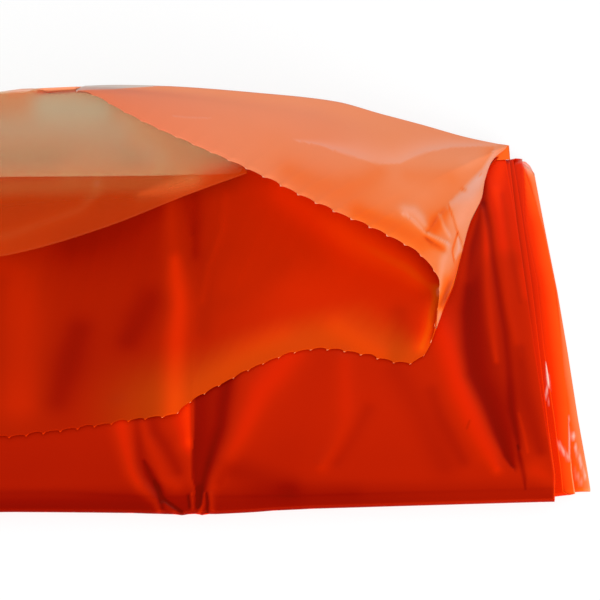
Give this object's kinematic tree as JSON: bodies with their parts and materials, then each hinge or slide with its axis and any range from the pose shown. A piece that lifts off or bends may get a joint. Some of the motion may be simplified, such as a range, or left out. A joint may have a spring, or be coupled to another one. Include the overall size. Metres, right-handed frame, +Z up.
{
  "type": "survival bag",
  "caption": "Lightweight orange polythene emergency survival bag, pleated to and fro into a flat pack with its torn, perforated mouth gaping open on top.",
  "frame": {"origin": "middle of the flat underside that the pack lies on, below its middle crease", "axes": "+X across the pack along its near fold, +Y from the near fold to the far edge with the loose mouth, +Z up"},
  "size_m": [0.477, 0.2779, 0.0807],
  "materials": {
    "folded_film": "several layers of blown orange film, deep red-orange, soft gloss",
    "front_film": "several layers of blown orange film, deep red-orange, soft gloss",
    "single_film": "one layer of blown orange film, translucent, soft gloss",
    "hazy_inner_film": "hazy blown film seen against the light, soft gloss",
    "heat_seal": "films pressed together by a hot bar, satin"
  },
  "bodies": {
    "panel_1": {"panel_1_lower_leaf": "folded_film", "panel_1_upper_leaf": "folded_film", "foot_seal": "heat_seal"},
    "panel_2": {"panel_2_lower_leaf": "folded_film", "panel_2_upper_leaf": "folded_film"},
    "panel_3": {"panel_3_lower_leaf": "folded_film", "panel_3_upper_leaf": "folded_film"},
    "panel_4": {"panel_4_lower_leaf": "folded_film", "panel_4_upper_leaf": "folded_film"},
    "panel_5": {"panel_5_lower_leaf": "folded_film", "panel_5_upper_leaf": "folded_film"},
    "panel_6": {"panel_6_lower_leaf": "folded_film", "panel_6_upper_leaf": "front_film"},
    "mouth": {"loose_top_fold": "folded_film", "mouth_lower_lip": "single_film", "mouth_inner_fold": "hazy_inner_film"},
    "upper_lip": {"mouth_upper_lip": "single_film"}
  },
  "joints": [
    {"name": "fold_1", "type": "hinge", "parent": "panel_1", "child": "panel_2", "pos_m": [0, -0.125, 0.0022], "axis": [1, 0, 0], "range_deg": [0, 90]},
    {"name": "fold_2", "type": "hinge", "parent": "panel_2", "child": "panel_3", "pos_m": [0, 0.125, 0.0046], "axis": [-0.9997, -0.026, 0], "range_deg": [0, 60]},
    {"name": "fold_3", "type": "hinge", "parent": "panel_3", "child": "panel_4", "pos_m": [0, -0.125, 0.007], "axis": [1, 0, 0], "range_deg": [0, 90]},
    {"name": "fold_4", "type": "hinge", "parent": "panel_4", "child": "panel_5", "pos_m": [0, 0.125, 0.0094], "axis": [-0.9997, -0.026, 0], "range_deg": [0, 60]},
    {"name": "fold_5", "type": "hinge", "parent": "panel_5", "child": "panel_6", "pos_m": [0, -0.125, 0.0118], "axis": [1, 0, 0], "range_deg": [0, 90]},
    {"name": "mouth_fold", "type": "hinge", "parent": "panel_6", "child": "mouth", "pos_m": [0, 0.125, 0.0142], "axis": [-0.9997, -0.026, 0], "range_deg": [0, 60]},
    {"name": "mouth_opening", "type": "hinge", "parent": "mouth", "child": "upper_lip", "pos_m": [0.221, 0.14875, 0.032], "axis": [-0.9769, 0.0453, 0.2089], "range_deg": [0, 35]}
  ]
}
